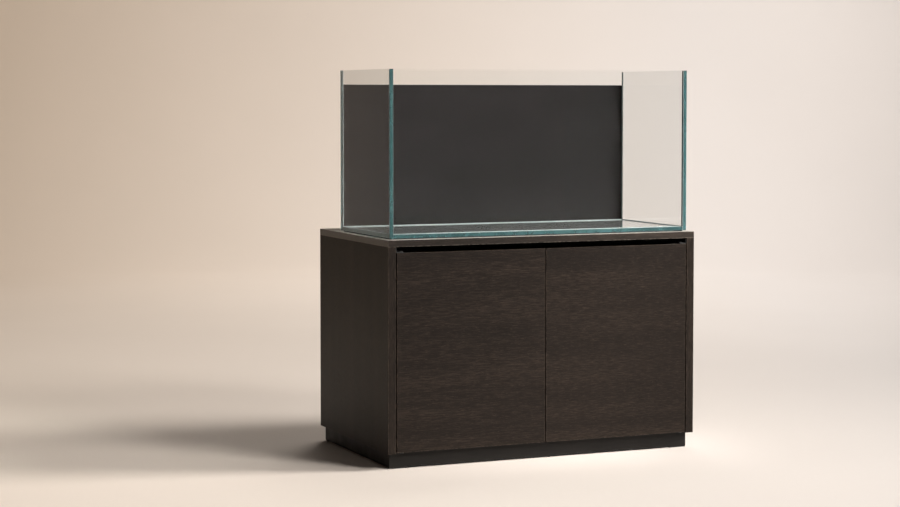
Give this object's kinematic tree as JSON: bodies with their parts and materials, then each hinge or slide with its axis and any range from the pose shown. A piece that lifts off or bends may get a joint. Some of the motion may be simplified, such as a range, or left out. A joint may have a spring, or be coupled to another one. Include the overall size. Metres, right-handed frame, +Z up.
{
  "type": "aquarium on stand",
  "caption": "Open-top rimless glass tank on a dark veneered cabinet with two doors that swing open, a finger gap over them and a recessed plinth.",
  "frame": {"origin": "on the floor, under the middle of the cabinet", "axes": "+X to the viewer's right when facing the doors, +Y from the doors to the back, +Z up"},
  "size_m": [0.942, 0.54, 1.083],
  "materials": {
    "glass": "clear float glass with teal edges",
    "silicone": "clear silicone, milky where it is thick",
    "film": "matte charcoal film",
    "mat_foam": "black closed-cell foam",
    "veneer": "dark brown veneer with fine grain, satin",
    "back_board": "dark brown plywood, matte",
    "black_rail": "stained black, matte",
    "grommet_plastic": "black moulded plastic",
    "birch": "plain pale hardwood",
    "plinth_black": "black, matte",
    "pad_rubber": "dark rubber",
    "clear_bumper": "clear soft plastic",
    "magnet": "nickel plated",
    "steel": "zinc-plated steel",
    "black_steel": "blackened steel, matte",
    "nylon": "black nylon"
  },
  "bodies": {
    "stand": {"tank_left_glass": "glass", "tank_right_glass": "glass", "tank_base_glass": "glass", "tank_front_glass": "glass", "tank_back_glass": "glass", "corner_silicone": "silicone", "base_silicone": "silicone", "background_film": "film", "leveling_mat": "mat_foam", "top_board": "veneer", "left_side_panel": "veneer", "right_side_panel": "veneer", "bottom_board": "veneer", "center_divider": "veneer", "rear_rail": "veneer", "back_panel": "back_board", "front_rail": "black_rail", "hose_grommets": "grommet_plastic", "panel_dowels": "birch", "plinth_blocks": "birch", "plinth_front": "plinth_black", "plinth_rear": "plinth_black", "plinth_left": "plinth_black", "plinth_right": "plinth_black", "floor_pads": "pad_rubber", "door_bumpers": "clear_bumper", "door_magnets": "magnet", "left_upper_bracket": "black_steel", "right_upper_bracket": "black_steel", "left_lower_leaf": "black_steel", "right_lower_leaf": "black_steel", "left_pivot_pins": "black_steel", "right_pivot_pins": "black_steel", "left_bracket_screws": "black_steel", "right_bracket_screws": "black_steel", "left_thrust_washer": "nylon", "right_thrust_washer": "nylon"},
    "left_door": {"left_door": "veneer", "left_strike_plate": "steel", "left_door_leaves": "black_steel", "left_pivot_bushes": "nylon", "left_leaf_screws": "black_steel"},
    "right_door": {"right_door": "veneer", "right_strike_plate": "steel", "right_door_leaves": "black_steel", "right_pivot_bushes": "nylon", "right_leaf_screws": "black_steel"}
  },
  "joints": [
    {"name": "left_door_hinge", "type": "hinge", "parent": "stand", "child": "left_door", "pos_m": [-0.43022, -0.261, 0.3175], "axis": [0, 0, -1], "range_deg": [0, 110]},
    {"name": "right_door_hinge", "type": "hinge", "parent": "stand", "child": "right_door", "pos_m": [0.43022, -0.261, 0.3175], "axis": [0, 0, 1], "range_deg": [0, 110]}
  ]
}
